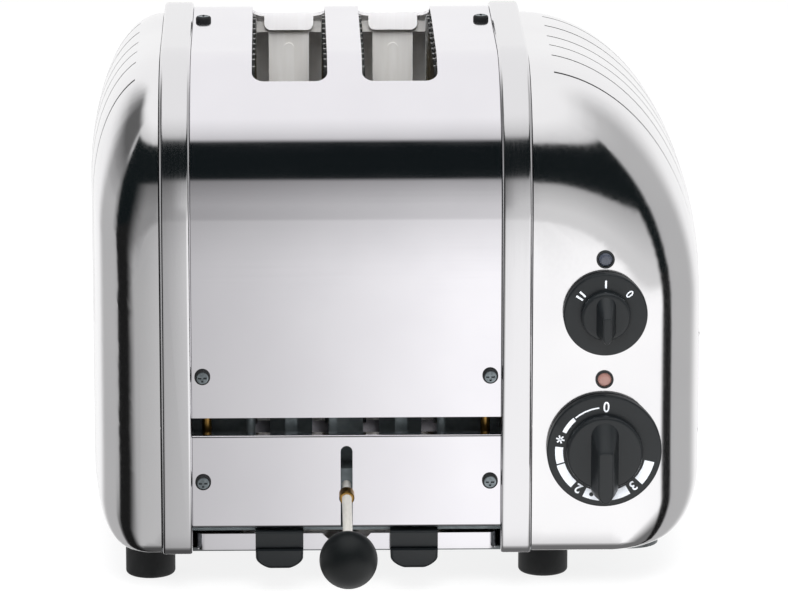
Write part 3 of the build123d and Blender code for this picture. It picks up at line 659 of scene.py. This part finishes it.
def timer_scale():
    """A scale of arcs that broadens round the dial from nought to three, with a frost star."""
    scale = bmesh.new()
    for inner, outer, start, stop in TIMER_ARCS:
        printed_arc(scale, TIMER_FACE, inner, outer, start, stop)
    star = on_dial(TIMER_FACE, STAR_ANGLE, STAR_RING, INK / 10)
    for i in range(STAR_ARMS):
        arm = Matrix.Rotation(math.radians(360 / STAR_ARMS * i), 4, "Y")
        printed_bar(scale, star @ arm @ Matrix.Translation((0, 0, STAR_ARM[1] / 2)), STAR_ARM)
    finish_print(scale, "timer_scale", PRINT, "timer")
    printed_sign("0", "timer_nought", TIMER_FACE, 0.0189, 2, 0.0044, "timer", 0.85)
    printed_sign("2", "timer_two", TIMER_FACE, 0.0191, -146, 0.0040, "timer")
    printed_sign("3", "timer_three", TIMER_FACE, 0.0191, -219, 0.0040, "timer")
    dot = bmesh.new()
    bmesh.ops.create_circle(dot, cap_ends=True, segments=16, radius=DOT)
    place = on_dial(TIMER_FACE, DOT_ANGLE, DOT_RING, 1.5 * INK) @ UPRIGHT
    bmesh.ops.transform(dot, matrix=place, verts=dot.verts[:])
    finish_print(dot, "timer_middle_dot", FINISHES["black_moulding"], "timer")


def camera():
    """The photograph's view."""
    aim = Vector((0, BODY_MIDDLE, AIM_HEIGHT))
    turn, tilt = math.radians(CAMERA_AZIMUTH), math.radians(CAMERA_ELEVATION)
    back = Vector((math.sin(turn) * math.cos(tilt), -math.cos(turn) * math.cos(tilt), math.sin(tilt)))
    data = bpy.data.cameras.new("camera")
    data.sensor_width = SENSOR
    data.lens = FOCAL_PIXELS / IMAGE_WIDTH * SENSOR
    data.clip_end = 50
    eye = bpy.data.objects.new("camera", data)
    bpy.context.scene.collection.objects.link(eye)
    eye.location = aim + back * CAMERA_DISTANCE
    eye.rotation_euler = (-back).to_track_quat("-Z", "Y").to_euler()
    bpy.context.scene.camera = eye


def off_front(tree, x, y):
    """Degrees to the right of straight ahead."""
    turn = calc(tree, "ARCTAN2", x, calc(tree, "MULTIPLY", y, -1.0))
    return calc(tree, "DEGREES", turn)


def surround(tree, angle, height):
    """1 inside the dark surround and 0 outside it; without a height, at the level of the floor."""
    other = calc(tree, "MULTIPLY", angle, -1.0)
    outer = calc(tree, "MULTIPLY", below(tree, angle, DARK_RIGHT[1], SOFT_SIDE),
                 below(tree, other, DARK_LEFT[1], SOFT_SIDE))
    window = calc(tree, "MULTIPLY", below(tree, angle, DARK_RIGHT[0], SOFT_SIDE),
                  below(tree, other, DARK_LEFT[0], SOFT_LEFT))
    if height is not None:
        outer = calc(tree, "MULTIPLY", outer, below(tree, height, DARK_HIGH, SOFT_HEIGHT))
        window = calc(tree, "MULTIPLY", window, below(tree, height, DARK_LOW, SOFT_HEIGHT))
    return calc(tree, "MULTIPLY", outer, calc(tree, "SUBTRACT", 1.0, window))


def across_light(tree, slope):
    """The studio grows brighter to the right; slope is the way to the right for each way forward."""
    across = calc(tree, "MULTIPLY_ADD", slope, EYE_DEPTH, EYE_X)
    return calc(tree, "MULTIPLY", ramp(tree, across, *LEFT_SHARE), ramp(tree, across, *RIGHT_SHARE))


def above(tree, source, limit, softness):
    """0 below a limit and 1 above it, with a soft edge."""
    return calc(tree, "SUBTRACT", 1.0, below(tree, source, limit, softness))


def walls(tree, level, angle, height):
    """A light level with the side walls and the white back put in; without a height, in the floor."""
    turn = calc(tree, "ABSOLUTE", angle)
    side = above(tree, turn, *SIDE_START)
    grey = SIDE_GREY
    if height is not None:
        on_left = below(tree, angle, *MIDDLE_EDGE)
        grey = blend(tree, on_left, SIDE_GREY, ramp(tree, height, *LEFT_FALL))
        cover = blend(tree, on_left, below(tree, height, *RIGHT_TOP), below(tree, height, *LEFT_TOP))
        side = calc(tree, "MULTIPLY", side, cover)
    level = blend(tree, side, level, grey)
    return blend(tree, above(tree, turn, *BACK_START), level, BACK_WHITE)


def studio_world():
    """White for the camera, even light for matt surfaces, and the dark surround for polished ones."""
    world = bpy.data.worlds.new("studio")
    bpy.context.scene.world = world
    world.use_nodes = True
    tree = world.node_tree
    tree.nodes.clear()
    coordinates = add(tree, "ShaderNodeTexCoord")
    axes = add(tree, "ShaderNodeSeparateXYZ", to_0=coordinates.outputs["Generated"])
    x, y, height = axes.outputs
    angle = off_front(tree, x, y)
    mask = surround(tree, angle, height)
    slope = calc(tree, "DIVIDE", x, calc(tree, "MAXIMUM", calc(tree, "MULTIPLY", y, -1.0), STEEPEST))
    window = calc(tree, "MULTIPLY", ramp(tree, height, *WINDOW_FALL), across_light(tree, slope))
    level = blend(tree, above(tree, height, *CEILING_EDGE), window, ramp(tree, height, *CEILING_RISE))
    level = walls(tree, level, angle, height)
    path = add(tree, "ShaderNodeLightPath")
    seen = add(tree, "ShaderNodeBackground", {"in_Color": linear("#FFFFFF"), "in_Strength": 1.0})
    even = add(tree, "ShaderNodeBackground", {"in_Color": linear("#F4F6FA"), "in_Strength": 0.55})
    bright = add(tree, "ShaderNodeBackground", {"in_Color": linear("#FFFFFF")}, Strength=level)
    dark = add(tree, "ShaderNodeBackground", {"in_Color": linear("#1A2224"), "in_Strength": 0.5})
    mirrored = add(tree, "ShaderNodeMixShader", to_0=mask, to_1=bright.outputs[0], to_2=dark.outputs[0])
    first = add(tree, "ShaderNodeMixShader", to_0=path.outputs["Is Glossy Ray"], to_1=even.outputs[0],
                to_2=mirrored.outputs[0])
    second = add(tree, "ShaderNodeMixShader", to_0=path.outputs["Is Camera Ray"], to_1=first.outputs[0],
                 to_2=seen.outputs[0])
    add(tree, "ShaderNodeOutputWorld", Surface=second.outputs[0])


def studio_floor():
    """A pale floor that keeps the toaster's shadow; polished metal sees it fall off towards the camera."""
    work = bmesh.new()
    bmesh.ops.create_grid(work, x_segments=FLOOR_CELLS, y_segments=FLOOR_CELLS, size=FLOOR_SIZE)
    mesh = bpy.data.meshes.new("studio_floor")
    work.to_mesh(mesh)
    work.free()
    floor = bpy.data.objects.new("studio_floor", mesh)
    bpy.context.scene.collection.objects.link(floor)
    material, tree, shader = new_material("studio_floor_paper", "#FFFFFF", 0.0, 0.9)
    coordinates = add(tree, "ShaderNodeTexCoord")
    shifted = add(tree, "ShaderNodeVectorMath", {"operation": "SUBTRACT"}, to_0=coordinates.outputs["Object"])
    shifted.inputs[1].default_value = (0, BODY_MIDDLE, 0)
    x, y, _ = add(tree, "ShaderNodeSeparateXYZ", to_0=shifted.outputs[0]).outputs
    past = calc(tree, "MAXIMUM", calc(tree, "SUBTRACT", calc(tree, "ABSOLUTE", x), FLAT_HALF), 0.0)
    sideways = calc(tree, "MULTIPLY", past, calc(tree, "SIGN", x))
    angle = off_front(tree, sideways, calc(tree, "ADD", y, CORNER_DEPTH))
    before = calc(tree, "MAXIMUM", calc(tree, "MULTIPLY", y, -1.0), half_depth)
    reach = calc(tree, "ADD", before, EYE_DEPTH - half_depth)
    slope = calc(tree, "DIVIDE", calc(tree, "SUBTRACT", x, EYE_X), reach)
    level = calc(tree, "MULTIPLY", ramp(tree, y, *FLOOR_RISE), across_light(tree, slope))
    level = calc(tree, "MULTIPLY", level, ramp(tree, y, *FLOOR_CONTACT))
    lit = blend(tree, surround(tree, angle, None), walls(tree, level, angle, None), SURROUND)
    glow = add(tree, "ShaderNodeEmission", {"in_Color": linear("#FFFFFF")}, Strength=lit)
    paper = add(tree, "ShaderNodeEmission", {"in_Color": linear("#FFFFFF"), "in_Strength": PAPER_WHITE})
    path = add(tree, "ShaderNodeLightPath")
    wash = calc(tree, "MULTIPLY", path.outputs["Is Camera Ray"], PAPER_WASH)
    washed = add(tree, "ShaderNodeMixShader", to_0=wash, to_1=shader.outputs[0], to_2=paper.outputs[0])
    mixed = add(tree, "ShaderNodeMixShader", to_0=path.outputs["Is Glossy Ray"], to_1=washed.outputs[0],
                to_2=glow.outputs[0])
    output = tree.nodes["Material Output"]
    tree.links.new(mixed.outputs[0], output.inputs["Surface"])
    mesh.materials.append(material)


def soft_lamp(name, place, aim, size, power):
    """A large soft area lamp."""
    data = bpy.data.lights.new(name, "AREA")
    data.shape = "RECTANGLE"
    data.size, data.size_y = size
    data.energy = power
    lamp = bpy.data.objects.new(name, data)
    bpy.context.scene.collection.objects.link(lamp)
    lamp.location = place
    lamp.rotation_euler = (Vector(aim) - Vector(place)).to_track_quat("-Z", "Y").to_euler()
    lamp.visible_glossy = False


def studio_lamps():
    """One broad lamp overhead, one that reaches into the slots, and two weaker ones at the sides."""
    centre = (0, BODY_MIDDLE, 0.1)
    soft_lamp("overhead", (0.1, BODY_MIDDLE - 0.2, 1.6), centre, (1.6, 1.4), 22)
    soft_lamp("slot_light", (0.0, BODY_MIDDLE - 1.3, 1.35), centre, (0.9, 0.7), 20)
    soft_lamp("left_fill", (-1.4, -1.2, 0.9), centre, (1.0, 1.0), 9)
    soft_lamp("right_fill", (1.5, -1.0, 0.8), centre, (1.0, 1.0), 7)


dress_cad()
selector_scale()
timer_scale()
studio_floor()
studio_world()
studio_lamps()
camera()
bpy.context.scene.view_settings.view_transform = "Standard"
